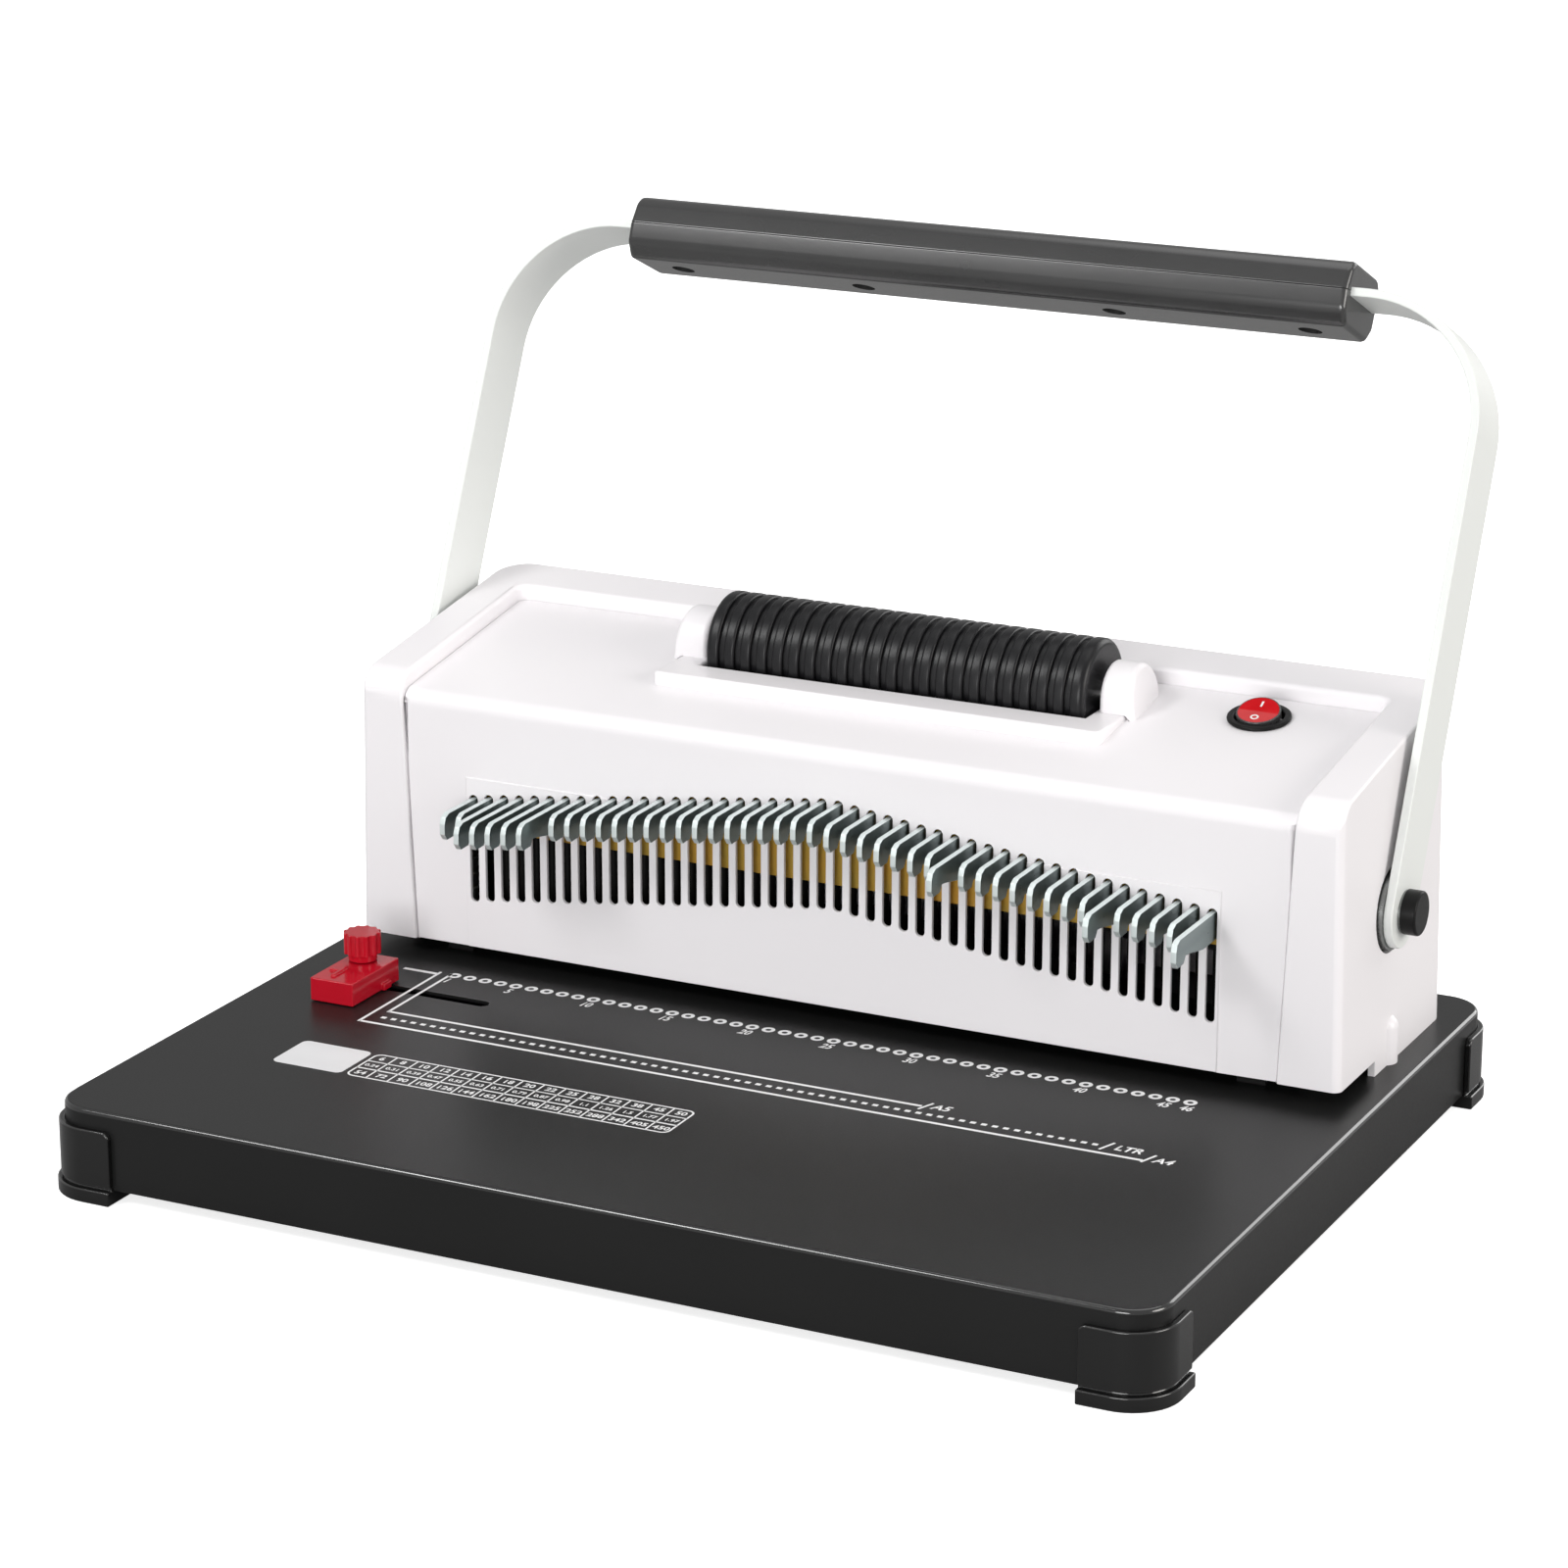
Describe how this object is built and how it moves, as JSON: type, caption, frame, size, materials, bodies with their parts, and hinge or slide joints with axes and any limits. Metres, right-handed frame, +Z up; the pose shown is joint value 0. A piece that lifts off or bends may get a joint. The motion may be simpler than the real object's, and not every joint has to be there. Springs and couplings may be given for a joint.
{
  "type": "electric coil binding machine",
  "caption": "Desktop coil binding machine: lever punch with a row of pull-out punch tabs, powered coil roller, side guide, base tray and chip drawer.",
  "frame": {"origin": "on the floor, under the middle of the whole machine with the lever leaning back at rest", "axes": "+X to the right seen from the paper side, +Y away from the user to the back, +Z up"},
  "size_m": [0.4088, 0.3438, 0.2944],
  "materials": {
    "white_plastic": "satin moulded white plastic",
    "base_black": "fine textured black powder coat",
    "foot_rubber": "matt black rubber",
    "black_plastic": "fine grained black plastic",
    "roller_rubber": "matt black rubber",
    "white_paint": "satin white powder coat",
    "plated": "polished plated steel",
    "zinc": "zinc plated sheet",
    "yellow_zinc": "yellow passivated steel",
    "steel": "machined steel",
    "dark_steel": "blackened steel",
    "bush_brass": "plain brass",
    "red_plastic": "glossy red plastic"
  },
  "bodies": {
    "base": {"base_tray": "base_black", "base_bottom": "base_black", "corner_feet": "foot_rubber", "shell": "white_plastic", "cover": "white_plastic", "die_plate": "dark_steel", "pin_guide": "dark_steel", "paper_stop": "dark_steel", "side_frames": "dark_steel", "shaft_bushes": "bush_brass", "guide_posts": "steel", "post_feet": "dark_steel", "motor": "steel", "motor_bracket": "steel", "bearing_blocks": "white_plastic", "switch_bezel": "black_plastic", "mains_inlet": "black_plastic", "housing_screws": "steel", "belt": "roller_rubber", "return_springs": "steel"},
    "lever": {"handle_bar": "white_paint", "grip_upper": "black_plastic", "grip_lower": "black_plastic", "grip_screws": "steel", "cross_shaft": "plated", "pinions": "steel", "pivot_caps": "black_plastic", "pivot_washers": "plated"},
    "ram": {"ram_plate": "yellow_zinc", "ram_beam": "dark_steel", "racks": "steel", "pins_driven": "dark_steel"},
    "roller": {"roller_sleeve": "roller_rubber", "roller_shaft": "steel", "roller_pulley": "steel"},
    "motor_rotor": {"motor_pulley": "steel"},
    "rocker": {"rocker": "red_plastic"},
    "guide": {"guide_block": "red_plastic", "guide_nut": "steel"},
    "knob": {"guide_knob": "red_plastic"},
    "drawer": {"chip_drawer": "black_plastic"},
    "idle_pins": {"pins_idle": "dark_steel"},
    "tab_03": {"tab_03": "zinc"},
    "tab_04": {"tab_04": "zinc"},
    "tab_05": {"tab_05": "zinc"},
    "tab_06": {"tab_06": "zinc"},
    "tab_07": {"tab_07": "zinc"},
    "tab_32": {"tab_32": "zinc"},
    "tab_41": {"tab_41": "zinc"},
    "tab_46": {"tab_46": "zinc"},
    "tabs_01_02": {"tabs_01_02": "zinc"},
    "tabs_08_15": {"tabs_08_15": "zinc"},
    "tabs_16_23": {"tabs_16_23": "zinc"},
    "tabs_24_31": {"tabs_24_31": "zinc"},
    "tabs_33_40": {"tabs_33_40": "zinc"},
    "tabs_42_45": {"tabs_42_45": "zinc"}
  },
  "joints": [
    {"name": "lever_pull", "type": "hinge", "parent": "base", "child": "lever", "pos_m": [0, 0.06702, 0.0885], "axis": [1, 0, 0], "range_deg": [0, 93], "stiffness_Nm_per_rad": 1},
    {"name": "ram_slide", "type": "slide", "parent": "base", "child": "ram", "axis": [0, 0, -1], "range_m": [0, 0.0268], "deforming": ["return_springs"]},
    {"name": "roller_spin", "type": "hinge", "parent": "base", "child": "roller", "pos_m": [0, 0.08702, 0.145], "axis": [1, 0, 0], "continuous": true},
    {"name": "motor_spin", "type": "hinge", "parent": "base", "child": "motor_rotor", "pos_m": [0, 0.09752, 0.06], "axis": [1, 0, 0], "continuous": true},
    {"name": "switch_rock", "type": "hinge", "parent": "base", "child": "rocker", "pos_m": [0.1308, 0.09032, 0.14218], "axis": [1, 0, 0], "range_deg": [-24, 0]},
    {"name": "guide_slide", "type": "slide", "parent": "base", "child": "guide", "axis": [1, 0, 0], "range_m": [-0.002, 0.04]},
    {"name": "knob_turn", "type": "hinge", "parent": "guide", "child": "knob", "pos_m": [-0.16798, -0.01888, 0.0465], "axis": [0, 0, 1], "range_deg": [0, 270]},
    {"name": "idle_pins_slide", "type": "slide", "parent": "base", "child": "idle_pins", "axis": [0, 0, -1], "range_m": [0, 0.0268]},
    {"name": "drawer_slide", "type": "slide", "parent": "base", "child": "drawer", "axis": [0, 1, 0], "range_m": [0, 0.06]},
    {"name": "tab_03_slide", "type": "slide", "parent": "ram", "child": "tab_03", "axis": [0, 1, 0], "range_m": [0, 0.012]},
    {"name": "tab_04_slide", "type": "slide", "parent": "ram", "child": "tab_04", "axis": [0, 1, 0], "range_m": [0, 0.012]},
    {"name": "tab_05_slide", "type": "slide", "parent": "ram", "child": "tab_05", "axis": [0, 1, 0], "range_m": [0, 0.012]},
    {"name": "tab_06_slide", "type": "slide", "parent": "ram", "child": "tab_06", "axis": [0, 1, 0], "range_m": [0, 0.012]},
    {"name": "tab_07_slide", "type": "slide", "parent": "ram", "child": "tab_07", "axis": [0, 1, 0], "range_m": [0, 0.012]},
    {"name": "tab_32_slide", "type": "slide", "parent": "ram", "child": "tab_32", "axis": [0, 1, 0], "range_m": [0, 0.012]},
    {"name": "tab_41_slide", "type": "slide", "parent": "ram", "child": "tab_41", "axis": [0, 1, 0], "range_m": [0, 0.012]},
    {"name": "tab_46_slide", "type": "slide", "parent": "ram", "child": "tab_46", "axis": [0, 1, 0], "range_m": [0, 0.012]},
    {"name": "tabs_01_02_slide", "type": "slide", "parent": "ram", "child": "tabs_01_02", "axis": [0, -1, 0], "range_m": [0, 0.012]},
    {"name": "tabs_08_15_slide", "type": "slide", "parent": "ram", "child": "tabs_08_15", "axis": [0, -1, 0], "range_m": [0, 0.012]},
    {"name": "tabs_16_23_slide", "type": "slide", "parent": "ram", "child": "tabs_16_23", "axis": [0, -1, 0], "range_m": [0, 0.012]},
    {"name": "tabs_24_31_slide", "type": "slide", "parent": "ram", "child": "tabs_24_31", "axis": [0, -1, 0], "range_m": [0, 0.012]},
    {"name": "tabs_33_40_slide", "type": "slide", "parent": "ram", "child": "tabs_33_40", "axis": [0, -1, 0], "range_m": [0, 0.012]},
    {"name": "tabs_42_45_slide", "type": "slide", "parent": "ram", "child": "tabs_42_45", "axis": [0, -1, 0], "range_m": [0, 0.012]}
  ],
  "couplings": [
    {"joint": "ram_slide", "follows": "lever_pull", "m_per_rad": 0.0165},
    {"joint": "motor_spin", "follows": "roller_spin", "ratio": 1.3231}
  ]
}
